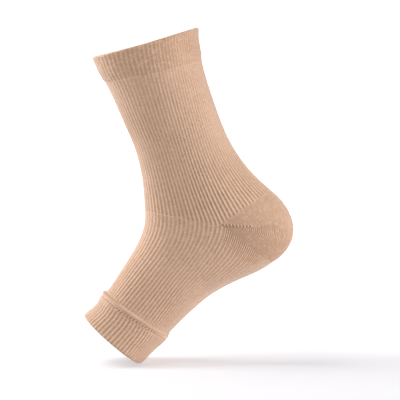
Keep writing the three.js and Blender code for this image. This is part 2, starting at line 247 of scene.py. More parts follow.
class SockStage(bpy.types.PropertyGroup):
    """Camera, floor and light"""

    camera_distance: Length("Camera distance", "From the camera to the sock's middle plane", 2.5)
    camera_height: Length("Camera height", "From the heel's gore line up to the camera", 0.158)
    frame_width: Length("Frame width", "Width that the picture shows at the sock", 0.32)
    floor_gap: Length("Floor gap", "Room between the lowest point and the floor", 0.0006)
    floor_glow: Glow("Floor glow", "Light of the white floor itself", 0.49)
    backdrop_glow: Glow("Backdrop glow", "Light of the white backdrop itself", 0.95)
    key_power: Power("Key light", "Large light on the right that leaves the floor out", 39)
    front_power: Power("Front light", "Large light high beside the camera on the left", 11)
    edge_power: Power("Edge light", "Light behind on the left that leaves the floor out", 22)
    top_power: Power("Top light", "Broad light above on the left, which throws the shadow", 20)
    sky: Glow("Sky", "Light of the white surroundings", 0.05)


# Directions, courses and skins


def ray(angle):
    """A side view direction, X and Z, at an angle up from the heel's direction."""
    return np.array([math.cos(angle), math.sin(angle)])


def smooth(low, high, x):
    """0 before low, 1 after high, and an even curve between."""
    t = np.clip((np.asarray(x, float) - low) / (high - low), 0, 1)
    return t * t * (3 - 2 * t)


def run_along(points):
    """The length along a line of points, up to each of them."""
    return np.concatenate([[0], np.cumsum(np.linalg.norm(np.diff(points, axis=0), axis=1))])


def picked_along(points, length, wanted):
    """Points of a line at the wanted lengths along it."""
    return np.column_stack([np.interp(wanted, length, points[:, k]) for k in range(3)])


def outward_normals(here, around, along, centre):
    """Unit directions square to a row of knit, turned away from its centre."""
    normal = np.cross(around, along)
    normal /= np.linalg.norm(normal, axis=1)[:, None]
    return -normal if np.sum(normal * (here - centre)) < 0 else normal


def places_round(columns):
    """Each column's share of the way from the front to the back, and its side of the sock."""
    turn = 2 * np.arange(columns) / columns
    return np.where(turn <= 1, turn, 2 - turn), np.where(turn <= 1, 1.0, -1.0)


class Form:
    """The sock's named points and its two arms, leg and foot, worked out from the sizes."""

    def __init__(self, scene):
        sizes, knit = scene.sock_form, scene.sock_knit
        self.scene, self.sizes, self.knit = scene, sizes, knit
        self.skin = knit.rib_depth + knit.wall
        self.columns = knit.rib_count * knit.columns_per_rib
        self.apex = ray(-sizes.heel_tilt) * (self.skin - sizes.heel_reach * HEEL.read("reach", 0.5))
        top = self.apex + ray(math.pi / 2 + sizes.leg_lean) * sizes.leg_length
        toe = self.apex + ray(math.pi + sizes.foot_drop) * sizes.foot_length
        crease = self.apex + ray(math.pi - sizes.ankle_rise) * sizes.ankle_depth
        across_top = ray(sizes.top_tilt) * sizes.top_depth / 2
        across_toe = ray(-sizes.toe_tilt) * sizes.toe_depth / 2
        self.apex_share = knit.apex_rib / (knit.rib_count / 2)
        self.cuff_share = sizes.cuff_length / sizes.leg_length
        self.toe_cuff_share = 1 - sizes.toe_cuff_length / sizes.foot_length
        self.seam_share = self.toe_cuff_share - sizes.seam_width / sizes.foot_length
        self.arms = {
            "leg": {
                "table": LEG,
                "ribs": LEG_RIBS,
                "grip": 4.5,
                "start": (top - across_top, top + across_top, sizes.top_width / 2),
                "end": (crease, self.heel_back(0), sizes.ankle_width / 2),
                "joint": 1,
                "low": (0.5, 0.5),
                "length": sizes.leg_length,
            },
            "foot": {
                "table": FOOT,
                "ribs": FOOT_RIBS,
                "grip": 5.5,
                "start": (crease, self.heel_back(1), sizes.ankle_width / 2),
                "end": (toe - across_toe, toe + across_toe, sizes.toe_width / 2),
                "joint": 0,
                "low": (0.5, 0.56),
                "length": sizes.foot_length,
            },
        }

    def heel_back(self, at):
        """The back centre of the heel pocket, from its top edge at 0 to its lower edge at 1."""
        angle = self.sizes.heel_spread / 2 * (1 - 2 * at) - self.sizes.heel_tilt
        return self.apex + ray(angle) * self.sizes.heel_reach * HEEL.read("reach", at)

    def section(self, arm, at):
        """Front, widest and back points of one course, and its half width."""
        read, start, end, low = arm["table"].read, arm["start"], arm["end"], arm["low"]
        places = []
        for k, column, side in ((0, "front", -1), (1, "back", 1)):
            chord = end[k] - start[k]
            square = np.array([-chord[1], chord[0]]) * side
            places.append(start[k] + chord * at + square * read(column, at))
        front, back = places
        joint = end if arm["joint"] else start
        turn = self.apex - (joint[0] + (joint[1] - joint[0]) * low[arm["joint"]])
        share = low[0] + (low[1] - low[0]) * at
        middle = front + (back - front) * share + turn * read("bend", at)
        return front, middle, back, (start[2] + (end[2] - start[2]) * at) * read("wide", at)

    def course(self, name, at, shares):
        """Points of one course at shares of its half length, from the front centre to the back centre."""
        arm, steps = self.arms[name], 120
        front, middle, back, half = self.section(arm, at)
        front_power, back_power = (arm["table"].read(column, at) for column in ("front_power", "back_power"))
        angle = np.linspace(0, math.pi / 2, steps + 1)
        cosine, sine = np.cos(angle).clip(0), np.sin(angle)
        ahead = front + np.outer(1 - cosine ** (2 / front_power), middle - front)
        behind = middle + np.outer(sine ** (2 / back_power), back - middle)
        line = np.vstack([ahead, behind[1:]])
        out = half * np.concatenate([sine ** (2 / front_power), (cosine ** (2 / back_power))[1:]])
        points = np.column_stack([line[:, 0], out, line[:, 1]])
        length = run_along(points)
        pinned = np.interp(shares, [0, self.apex_share, 1], [0, length[steps] / length[-1], 1])
        free = shares + arm["ribs"].read("spread", at) * np.sin(math.pi * shares)
        free = free + arm["ribs"].read("skew", at) * np.sin(TURN * shares)
        pin = (at if arm["joint"] else 1 - at) ** arm["grip"]
        return picked_along(points, length, (free + (pinned - free) * pin) * length[-1])

    def strength(self, name, stations, shares):
        """How strongly the ribs stand out: a row for each station, a column for each share."""
        read = self.arms[name]["ribs"].read
        rows = []
        for at in np.clip(stations, 0, 1).ravel():
            row = [read(column, at) for column in ("front", "middle", "back")]
            rows.append(np.interp(shares.ravel(), [0.15, 0.5, 0.85], row))
        return np.array(rows)

    def wander(self, name, at, shares):
        """The small sideways drift of the ribs between an arm's two ends, as a share of half a course."""
        phase = 0.0 if name == "leg" else 0.37
        drift = np.sin(TURN * (1.3 * at + 1.1 * shares + phase)) * 0.0018
        drift = drift + np.sin(TURN * (3.1 * at - 2.3 * shares + phase)) * 0.0009
        return math.sin(math.pi * at) * drift * np.sin(math.pi * shares)

    def grid(self, name, stations, columns):
        """Points and outward normals of a tube: a row for each station, a column for each place round it."""
        shares, side = places_round(columns)

        def row(at):
            points = self.course(name, at, np.clip(shares + self.wander(name, at, shares), 0, 1))
            points[:, 1] *= side
            return points

        step = 0.003
        rows, normals = [], []
        for at in stations:
            here = row(at)
            along = row(min(at + step, 1)) - row(max(at - step, 0))
            around = np.roll(here, -1, axis=0) - np.roll(here, 1, axis=0)
            rows.append(here)
            normals.append(outward_normals(here, around, along, here.mean(axis=0)))
        return np.array(rows), np.array(normals)


# Meshes


def new_object(name, data):
    """An object at the origin, in the scene."""
    made = bpy.data.objects.new(name, data)
    bpy.context.scene.collection.objects.link(made)
    return made


def write_points(mesh, key, values, kind="FLOAT"):
    """Names a value, or a direction, at each of a mesh's points."""
    field = "value" if kind == "FLOAT" else "vector"
    mesh.attributes.new(key, kind, "POINT").data.foreach_set(field, values.astype(np.float32).ravel())


def knit_mesh(name, grid, outward, faces, texture, values, walls):
    """A smooth mesh over a grid of points, with the knit's own UV map at its corners.

    outward is the direction out of the sock at each point, and walls says which faces are flat cut edges.
    values are named, and may be the same along a row, a column or the whole grid.
    """
    points = grid.reshape(-1, 3)
    a, b, c, d = points[faces].transpose(1, 0, 2)
    if np.sum(a * np.cross(b, c)) + np.sum(a * np.cross(c, d)) < 0:
        faces = faces[:, ::-1]
        texture = texture[:, ::-1]
    mesh = bpy.data.meshes.new(name)
    mesh.from_pydata(points.tolist(), [], faces.tolist())
    mesh.uv_layers.new(name="knit").data.foreach_set("uv", texture.astype(np.float32).ravel())
    for key, value in values.items():
        write_points(mesh, key, np.broadcast_to(value, grid.shape[:2]))
    write_points(mesh, "out", outward, "FLOAT_VECTOR")
    mesh.shade_smooth()
    mesh.polygons.foreach_set("use_smooth", ~walls)
    corner_edges = np.empty(len(mesh.loops), np.int32)
    mesh.loops.foreach_get("edge_index", corner_edges)
    sharp = np.zeros(len(mesh.edges), bool)
    sharp[corner_edges.reshape(-1, 4)[walls]] = True
    mesh.edges.foreach_set("use_edge_sharp", sharp)
    return new_object(name, mesh)


def quads_over(rows, columns, closed=True):
    """Quads over rows of points, of which the last joins the first, and each corner's column number.

    The last column joins the first as well where the rows are closed, and is numbered on from there.
    """
    k = np.arange(columns if closed else columns - 1)[None, :]
    right = (k + 1) % columns
    here = np.arange(rows)[:, None] * columns
    below = np.roll(here, -1, axis=0)
    faces = np.stack([here + k, here + right, below + right, below + k], axis=-1)
    column = np.stack([k, k + 1, k + 1, k], axis=-1)
    return faces.reshape(-1, 4), np.broadcast_to(column, faces.shape).reshape(-1, 4)


def ring_mesh(name, form, points, outward, side, stations, along, ribbed, fine):
    """A closed skin through rings of points, whose cut edges are where two rings share a station."""
    rows, columns = points.shape[:2]
    faces, column = quads_over(rows, columns)
    run = np.column_stack([along, np.roll(along, -1)])
    run[-1] = along[-1]
    length = np.repeat(run[:, [0, 0, 1, 1]], columns, axis=0)
    texture = np.stack([column / columns, length / LENGTH_OF_MAP], axis=-1)
    cut = np.abs(stations - np.roll(stations, -1)) < 1e-7
    wale = np.arange(columns)[None, :] * form.knit.rib_count / columns
    values = {"wale": wale, "ribbed": ribbed, "fine": fine, "side": side[:, None]}
    return knit_mesh(name, points, outward, faces, texture, values, np.repeat(cut, columns))


def shell_profile(form, arm, first, last, outer_rows, inner_rows):
    """Rings of a tube with a plain wall: down its outside, then up its inside."""
    length = form.arms[arm]["length"]
    outer = [(at, 0.0, 1.0, at * length) for at in np.linspace(first, last, outer_rows)]
    inner = [(at, form.skin, INNER_RELIEF, at * length) for at in np.linspace(last, first, inner_rows)]
    return outer + inner


def hem_profile(form, arm, edge, rim, outer_rows, inner_rows):
    """Rings of a doubled hem: along its outside, round its folded rim, and back along its inside."""
    rise, length = form.knit.cuff_rise, form.arms[arm]["length"]
    sign = 1 - 2 * rim
    thick = form.skin + form.knit.hem_extra + rise
    fold, fold_rows, step = thick / 2, 10, 0.005
    inward = rim + sign * fold / length
    rings = []
    for at in np.linspace(edge, inward, outer_rows):
        proud = rise if rim else rise * smooth(0, step, abs(at - edge) * length)
        rings.append((at, -proud, 1.0, at * length))
    for k in range(1, fold_rows):
        angle = math.pi * k / fold_rows
        at = rim + sign * fold * (1 - math.sin(angle)) / length
        relief = 0.8 + 0.2 * math.cos(angle)
        along = rim * length - sign * fold * (angle - math.pi / 2)
        rings.append((at, fold * (1 - math.cos(angle)) - rise, relief, along))
    for at in np.linspace(inward, edge, inner_rows):
        rings.append((at, thick - rise, INNER_RELIEF, at * length))
    return rings


# Node trees


class Value:
    """A value in a node tree, so that sums on it read as Python."""

    def __init__(self, tree, socket):
        self.tree, self.socket = tree, socket

    def __add__(self, other):
        return self.tree.math("ADD", self, other)

    def __sub__(self, other):
        return self.tree.math("SUBTRACT", self, other)

    def __rsub__(self, other):
        return self.tree.math("SUBTRACT", other, self)

    def __mul__(self, other):
        return self.tree.math("MULTIPLY", self, other)

    def __pow__(self, other):
        return self.tree.math("POWER", self, other)

    __radd__ = __add__
    __rmul__ = __mul__

    def wave(self):
        """Its cosine, from 0 to 1."""
        return self.tree.math("COSINE", self) * 0.5 + 0.5

    def smooth(self, low, high):
        """0 before low, 1 after high, and an even curve between."""
        inputs = [self, low, high, 0, 1]
        return self.tree.value("ShaderNodeMapRange", inputs, interpolation_type="SMOOTHSTEP")


class Tree:
    """A node tree that is built by expressions and by one method for any other node."""

    def __init__(self, tree):
        self.tree = tree

    def node(self, kind, inputs=(), **settings):
        """Makes a node, sets its settings, then sets or links its sockets by number or name."""
        made = self.tree.nodes.new(kind)
        for key, setting in settings.items():
            setattr(made, key, setting)
        for key, value in inputs.items() if isinstance(inputs, dict) else enumerate(inputs):
            if isinstance(value, Value):
                self.tree.links.new(value.socket, made.inputs[key])
            else:
                made.inputs[key].default_value = value
        return made

    def value(self, kind, inputs=(), output=0, **settings):
        """One output of a new node."""
        return Value(self, self.node(kind, inputs, **settings).outputs[output])

    def math(self, operation, *values):
        return self.value("ShaderNodeMath", values, operation=operation)

    def mix(self, share, low, high):
        """A colour between two colours."""
        inputs = {0: share, 6: low, 7: high}
        return self.value("ShaderNodeMix", inputs, 2, data_type="RGBA", clamp_factor=True)

    def noise(self, scale, detail):
        """A soft uneven value over the piece."""
        spot = self.value("ShaderNodeTexCoord", output="Object")
        return self.value("ShaderNodeTexNoise", {"Vector": spot, "Scale": scale, "Detail": detail})

    def shade(self, **inputs):
        """Ends a material with one shader, whose sockets are named with _ for each space."""
        sockets = {key.replace("_", " "): value for key, value in inputs.items()}
        self.node("ShaderNodeOutputMaterial", [self.value("ShaderNodeBsdfPrincipled", sockets)])


def rgba(colour, gain=1.0):
    return (*(channel * gain for channel in colour), 1.0)


def empty_material(name):
    """A new material and its empty node tree."""
    material = bpy.data.materials.new(name)
    material.use_nodes = True
    material.node_tree.nodes.clear()
    return material, Tree(material.node_tree)


def knit_material(name, scene, shade, flecks):
    """Yarn in columns of V-shaped loops, with painted shade in the furrows between ribs and painted light on
    the rib tops, with a soft nap.
    """
    knit, colours = scene.sock_knit, scene.sock_colours
    material, tree = empty_material(name)
    place = tree.node("ShaderNodeSeparateXYZ", [tree.value("ShaderNodeUVMap", uv_map="knit")])
    wale = Value(tree, place.outputs[0]) * float(knit.rib_count)
    course = Value(tree, place.outputs[1]) * (LENGTH_OF_MAP / knit.course_height)
    ribbed, fine = (
        tree.value("ShaderNodeAttribute", output="Fac", attribute_name=key) for key in ("ribbed", "fine")
    )
    patches, uneven, fibres = tree.noise(34.0, 3.0), tree.noise(330.0, 2.0), tree.noise(1100.0, 3.0)

    # Two columns of loops stand on each rib, and the loops of a column point down at its middle.
    pair = wale * 2 + 0.5
    across = tree.math("ABSOLUTE", tree.math("FRACT", pair) - 0.5)
    down = course + across * 1.1 + uneven * 0.35
    cell = tree.value("ShaderNodeCombineXYZ", [tree.math("FLOOR", pair), tree.math("FLOOR", down), 0.0])
    tint = tree.value("ShaderNodeTexWhiteNoise", {"Vector": cell}, noise_dimensions="2D")
    column = 1 - across.smooth(0.3, 0.5)
    relief = (down * TURN).wave() * column * 0.55 + column * 0.45

    # The ground runs from the furrow colour, with its painted shade, to the rib colour, with its painted
    # light, and each layer covers a share of what is under it.
    # ribs darkens the furrows and lightens the rib tops: painted shade and painted light across each rib.
    ribs = ribbed * (0.43 - (1 - (wale * TURN).wave()) ** 1.3)
    # lines darkens the grooves between fine columns as painted shade, most where fine is high, as on the
    # heel's underside.
    lines = fine * (across.smooth(0.15, 0.45) * 0.75 - 0.12)
    dark, pale = rgba(colours.furrow, 0.42), rgba(colours.crest, 1.16)
    colour = tree.mix(ribs - lines + (0.53 - shade), rgba(colours.furrow), rgba(colours.crest))
    for share, layer in (
        # The first layer is painted shade in the hollows between loops; the rest are paler and darker loops
        # at random, soft patches and fibre grain.
        ((1 - relief) * 0.13, dark),
        (tint.smooth(0.62, 1.0) * flecks, pale),
        ((1 - tint.smooth(0.0, 0.34)) * 0.15, dark),
        (patches.smooth(0.4, 0.75) * 0.14, pale),
        (fibres.smooth(0.5, 0.8) * 0.1, dark),
    ):
        colour = tree.mix(share, colour, layer)
    height = relief + fibres * 0.35 + tint * 0.25
    tree.shade(
        Base_Color=colour,
        Roughness=fibres * 0.12 + 0.8,
        Normal=tree.value("ShaderNodeBump", {"Strength": 0.5, "Distance": 0.0004, "Height": height}),
        Specular_IOR_Level=0.25,
        Sheen_Weight=0.5,
        Sheen_Roughness=0.35,
        Sheen_Tint=(1.0, 0.92, 0.88, 1.0),
    )
    return material


def plain_material(name, colour, roughness, sheen):
    """One yarn of an even colour with a fine fibre grain."""
    material, tree = empty_material(name)
    fibres = tree.noise(1400.0, 3.0)
    tree.shade(
        Base_Color=tree.mix(fibres.smooth(0.45, 0.75) * 0.5, rgba(colour), rgba(colour, 0.7)),
        Roughness=roughness,
        Normal=tree.value("ShaderNodeBump", {"Strength": 0.4, "Distance": 0.0002, "Height": fibres}),
        Specular_IOR_Level=0.2,
        Sheen_Weight=sheen,
        Sheen_Roughness=0.5,
    )
    return material


def material_named(name, scene):
    """The sock's material of that name, made once."""
    colours = scene.sock_colours
    maker, *values = {
        "rib_knit": (knit_material, scene, 0.0, colours.flecks),
        "hem_knit": (knit_material, scene, colours.hem_shade, colours.hem_flecks),
        "heel_knit": (knit_material, scene, colours.heel_shade, colours.flecks),
        "seam_thread": (plain_material, colours.seam, 0.85, 0.3),
        "hole_shade": (plain_material, colours.hole, 1.0, 0.0),
    }[name]
    return bpy.data.materials.get(name) or maker(name, *values)


def paper_material(name, stage):
    """White paper that glows more behind the sock, so that only the floor under it takes a shadow."""
    material, tree = empty_material(name)
    place = tree.node("ShaderNodeSeparateXYZ", [tree.value("ShaderNodeTexCoord", output="Object")])
    behind = Value(tree, place.outputs[1]).smooth(0.01, 0.28)
    white = (0.98, 0.975, 1.02)
    near = rgba(white, stage.floor_glow / stage.backdrop_glow)
    tree.shade(
        Base_Color=(0.58, 0.58, 0.59, 1.0),
        Roughness=0.9,
        Specular_IOR_Level=0.0,
        Emission_Color=tree.mix(behind, near, rgba(white)),
        Emission_Strength=stage.backdrop_glow,
    )
    return material


def geometry_tree(name, *sizes):
    """A Geometry Nodes tree that takes a mesh, named sizes and a material, and those inputs by name."""
    group = bpy.data.node_groups.new(name, "GeometryNodeTree")
    group.interface.new_socket("Geometry", in_out="OUTPUT", socket_type="NodeSocketGeometry")
    kinds = {"Geometry": "Geometry", "Count": "Int", "Material": "Material"}
    labels = ("Geometry", *sizes, "Material")
    for label in labels:
        kind = "NodeSocket" + kinds.get(label, "Float")
        group.interface.new_socket(label, in_out="INPUT", socket_type=kind)
    tree = Tree(group)
    given = tree.node("NodeGroupInput").outputs
    return tree, {label: Value(tree, given[label]) for label in labels}


def finish_geometry(tree, geometry, material):
    """Ends a Geometry Nodes tree with real geometry that has its material."""
    real = tree.value("GeometryNodeRealizeInstances", [geometry])
    dressed = tree.value("GeometryNodeSetMaterial", {"Geometry": real, "Material": material})
    tree.node("NodeGroupOutput", [dressed])
    return tree.tree


def named(tree, key, kind="FLOAT"):
    """What the mesh holds at its points under a name."""
    return tree.value("GeometryNodeInputNamedAttribute", {"Name": key}, data_type=kind)


def rib_tree(name):
    """Raises ribs, or fine columns where the knit is plain, from a smooth skin."""
    tree, given = geometry_tree(name, "Rib depth", "Roundness", "Plain level", "Column relief")
    phase, ribbed = named(tree, "wale") * TURN, named(tree, "ribbed")
    valley = (1 - phase.wave()) ** given["Roundness"]
    between = (1 - (phase * 2).wave()) ** 2
    plain = between * named(tree, "fine") * given["Column relief"] + given["Plain level"]
    sunk = ribbed * valley + (1 - ribbed) * plain
    distance = sunk * named(tree, "side") * given["Rib depth"] * -1
    outward = named(tree, "out", "FLOAT_VECTOR")
    offset = tree.value("ShaderNodeVectorMath", {0: outward, "Scale": distance}, operation="SCALE")
    moved = tree.value("GeometryNodeSetPosition", {"Geometry": given["Geometry"], "Offset": offset})
    return finish_geometry(tree, moved, given["Material"])


def facing(tree, slant):
    """A rotation whose X runs along the path and whose Z stands out of the knit, turned by a slant."""
    align = "FunctionNodeAlignRotationToVector"
    upright = tree.value(align, {"Vector": named(tree, "out", "FLOAT_VECTOR")}, axis="Z")
    tangent = tree.value("GeometryNodeInputTangent")
    along = tree.value(align, {"Rotation": upright, "Vector": tangent}, axis="X", pivot_axis="Z")
    turned = tree.value("FunctionNodeEulerToRotation", [tree.value("ShaderNodeCombineXYZ", {"Z": slant})])
    return tree.value("FunctionNodeRotateRotation", [along, turned], rotation_space="LOCAL")


def stitch_tree(name):
    """Lays short rounded stitches along a path on the knit."""
    tree, given = geometry_tree(name, "Count", "Length", "Width", "Height", "Slant")
    path = tree.value("GeometryNodeMeshToCurve", {"Mesh": given["Geometry"]})
    spots = tree.value("GeometryNodeResampleCurve", {"Curve": path, "Count": given["Count"]})
    bead = tree.value("GeometryNodeMeshUVSphere", {"Segments": 8, "Rings": 5, "Radius": 0.5})
    scale = tree.value("ShaderNodeCombineXYZ", [given["Length"], given["Width"], given["Height"]])
    rotation = facing(tree, given["Slant"])
    inputs = {"Points": spots, "Instance": bead, "Rotation": rotation, "Scale": scale}
    laid = tree.value("GeometryNodeInstanceOnPoints", inputs)
    smoothed = tree.value("GeometryNodeSetShadeSmooth", {"Geometry": laid})
    return finish_geometry(tree, smoothed, given["Material"])


def applied(made, name, maker, values):
    """Runs a Geometry Nodes tree, made once, on an object and keeps the result as its plain mesh."""
    group = bpy.data.node_groups.get(name) or maker(name)
    modifier = made.modifiers.new(name, "NODES")
    modifier.node_group = group
    for item in group.interface.items_tree:
        if item.item_type == "SOCKET" and item.in_out == "INPUT" and item.name in values:
            modifier[item.identifier] = values[item.name]
    graph = bpy.context.evaluated_depsgraph_get()
    mesh = bpy.data.meshes.new_from_object(
        made.evaluated_get(graph), preserve_all_data_layers=True, depsgraph=graph
    )
    if not mesh.polygons:
        raise RuntimeError(f"{made.name} came out of {name} with no faces")
    mesh.name = made.name
    made.modifiers.remove(modifier)
    made.data = mesh


# Pieces


def dress(made, node, slot):
    """Hangs a finished piece under the root body, and hides the solid that it stands for."""
    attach(made, "root")
    if node:
        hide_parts(node)


def finish_knit(made, form, material, node):
    """Raises the ribs of a skin, which then stands for a node."""
    values = {
        "Rib depth": form.knit.rib_depth,
        "Roundness": 1.6,
        "Plain level": 0.4,
        "Column relief": 0.45,
        "Material": material_named(material, form.scene),
    }
    applied(made, "Rib knit", rib_tree, values)
    dress(made, node, node)


def knit_tube(name, node, form, arm, profile, knit_of, material="rib_knit"):
    """Knits a closed skin round an arm, which stands for a node.

    profile has a row for each ring: its station, how far it is sunk below the rib tops in metres,
    how much of the rib relief it takes, and its length along the knit.
    knit_of gives how strong the ribs and the fine columns are at stations and at shares round the sock.
    """
    stations, sunk, relief, along = np.array(profile, float).T
    points, normals = form.grid(arm, stations, form.columns)
    points = points - normals * sunk[:, None, None]
    ribbed, fine = knit_of(stations[:, None], places_round(form.columns)[0])
    made = ring_mesh(name, form, points, normals, relief, stations, along, ribbed, fine)
    finish_knit(made, form, material, node)


def lay_stitches(name, slot, form, material, line, outward, size, slant, count=None, closed=False):
    """Rounded stitches, or dark beads of painted shade for holes, along a line on the knit, one at each
    point where no count is given.
    """
    last = len(line) - 1
    edges = [(i, i + 1) for i in range(last)] + ([(last, 0)] if closed else [])
    mesh = bpy.data.meshes.new(name)
    mesh.from_pydata(line.tolist(), edges, [])
    write_points(mesh, "out", outward, "FLOAT_VECTOR")
    made = new_object(name, mesh)
    values = {
        "Count": count or len(line),
        **dict(zip(("Length", "Width", "Height"), size)),
        "Slant": math.radians(slant),
        "Material": material_named(material, form.scene),
    }
    applied(made, "Stitch row", stitch_tree, values)
    dress(made, None, slot)


class SOCK_OT_leg(bpy.types.Operator):
    """Knit the ribbed leg, which ends at the ankle line and at the heel pocket's top edge"""

    bl_idname = "sock.leg"
    bl_label = "Ribbed leg"

    def execute(self, context):
        form = Form(context.scene)

        def knit_of(stations, shares):
            behind = smooth(form.apex_share - 0.01, form.apex_share + 0.01, shares)
            ends = smooth(0.986, 0.998, stations) * behind
            return (1 - ends) * form.strength("leg", stations, shares), 0.1

        profile = shell_profile(form, "leg", form.cuff_share, 1, outer_rows=112, inner_rows=30)
        knit_tube("leg_knit", "leg_tube", form, "leg", profile, knit_of)
        return {"FINISHED"}


class SOCK_OT_foot(bpy.types.Operator):
    """Knit the foot, ribbed over the instep and sides and plain along the sole"""

    bl_idname = "sock.foot"
    bl_label = "Foot"

    def execute(self, context):
        form = Form(context.scene)

        def knit_of(stations, shares):
            behind = smooth(form.apex_share, form.apex_share + 0.05, shares)
            near_heel = (1 - smooth(0.03, 0.12, stations)) * behind
            plain_from = 0.76 - 0.1 * smooth(0.1, 0.75, stations)
            sole = smooth(plain_from, plain_from + 0.06, shares)
            under = smooth(plain_from + 0.02, plain_from + 0.1, shares)
            toward_seam = 1 - 0.55 * smooth(form.seam_share - 0.012, form.seam_share, stations)
            ribbed = form.strength("foot", stations, shares) * (1 - near_heel) * (1 - sole) * toward_seam
            # Near the heel the fine columns stand out strongly, and their darkened grooves there are painted
            # shade.
            return ribbed, near_heel * (1 - under) * 1.8 + 0.1

        profile = shell_profile(form, "foot", 0, form.seam_share, outer_rows=104, inner_rows=28)
        knit_tube("foot_knit", "foot_tube", form, "foot", profile, knit_of)
        return {"FINISHED"}


class SOCK_OT_cuffs(bpy.types.Operator):
    """Knit the doubled top cuff and the short toe cuff, each folded over at its rim"""

    bl_idname = "sock.cuffs"
    bl_label = "Cuffs"

    def execute(self, context):
        form = Form(context.scene)

        def top_knit(stations, shares):
            return form.strength("leg", stations, shares), 0.1

        def toe_knit(stations, shares):
            from_seam = smooth(form.toe_cuff_share, form.toe_cuff_share + 0.02, stations)
            sides = 1 - smooth(0.74, 0.84, shares)
            return form.strength("foot", stations, shares) * from_seam * sides, 0.1

        profile = hem_profile(form, "leg", form.cuff_share, 0, outer_rows=40, inner_rows=12)
        knit_tube("top_hem", "top_cuff", form, "leg", profile, top_knit, "hem_knit")
        profile = hem_profile(form, "foot", form.toe_cuff_share, 1, outer_rows=36, inner_rows=12)
        knit_tube("toe_hem", "toe_cuff", form, "foot", profile, toe_knit)
        return {"FINISHED"}


HEEL_HALF_COLUMNS = 150


def heel_grid(form, stations):
    """Points and normals of the heel pocket, and the length of each course from apex to back."""
    tip, step, steps = 0.0003, 0.006, 240
    turn = np.linspace(0, math.pi / 2, steps + 1)
    shares = np.linspace(0, 1, HEEL_HALF_COLUMNS + 1)

    def row(at):
        at = min(max(at, 0), 1)
        power = HEEL.read("back_power", at)
        line = form.apex + np.outer(np.sin(turn) ** (2 / power), form.heel_back(at) - form.apex)
        out = form.sizes.ankle_width / 2 * np.cos(turn).clip(0) ** (2 / power)
        points = np.column_stack([line[:, 0], out, line[:, 1]])
        length = run_along(points)
        half = picked_along(points, length, tip + shares * (length[-1] - tip))
        return np.vstack([half, half[:-1][::-1] * [1, -1, 1]]), length[-1]

    grid, normals, lengths = [], [], []
    for at in stations:
        here, length = row(at)
        along = row(at + step)[0] - row(at - step)[0]
        centre = [form.apex[0], 0, form.apex[1]]
        grid.append(here)
        normals.append(outward_normals(here, np.gradient(here, axis=0), along, centre))
        lengths.append(length)
    return np.array(grid), np.array(normals), np.array(lengths)


class SOCK_OT_heel(bpy.types.Operator):
    """Knit the plain heel pocket as a fan of courses about the gore apex"""

    bl_idname = "sock.heel"
    bl_label = "Heel pocket"

    def execute(self, context):
        form = Form(context.scene)
        outer_rows, inner_rows = 96, 48
        at = np.concatenate([np.linspace(0, 1, outer_rows), np.linspace(1, 0, inner_rows)])
        points, outward, lengths = heel_grid(form, at)
        rows, columns = points.shape[:2]
        inside = np.arange(rows)[:, None] >= outer_rows
        points = points - outward * inside[:, :, None] * form.skin

        inner_of = np.linspace(rows - 1, outer_rows, outer_rows).round().astype(int)
        sides = []
        for r in range(outer_rows - 1):
            quad = np.array([r, r + 1, inner_of[r + 1], inner_of[r]]) * columns
            sides += [quad, (quad + columns - 1)[::-1]]
        faces = np.vstack([quads_over(rows, columns, closed=False)[0], sides])
        cut = np.zeros(rows, bool)
        cut[[outer_rows - 1, rows - 1]] = True
        walls = np.concatenate([np.repeat(cut, columns - 1), np.ones(len(sides), bool)])

        angle = form.sizes.heel_spread / 2 * (1 - np.abs(1 - 2 * at))
        reach = 1 - np.abs(np.linspace(-1, 1, columns))
        wale = lengths[:, None] * (1 - reach) / form.knit.heel_columns
        along = lengths[:, None] * reach * np.sin(angle)[:, None] / LENGTH_OF_MAP
        texture = np.stack([wale / form.knit.rib_count, along], axis=-1).reshape(-1, 2)[faces]
        # lower deepens the fine columns on the lower half of the heel, and through their colour it also
        # darkens the heel's underside as painted shade.
        lower = smooth(0.5, 0.56, at)[:, None] * (0.85 + 0.5 * smooth(0.35, 0.6, 1 - reach))
        side = np.where(inside, INNER_RELIEF, 1.0)
        values = {"wale": wale, "ribbed": 0.0, "fine": 0.05 + lower, "side": side}
        made = knit_mesh("heel_knit", points, outward, faces, texture, values, walls)
        finish_knit(made, form, "heel_knit", "heel_pocket")
        return {"FINISHED"}


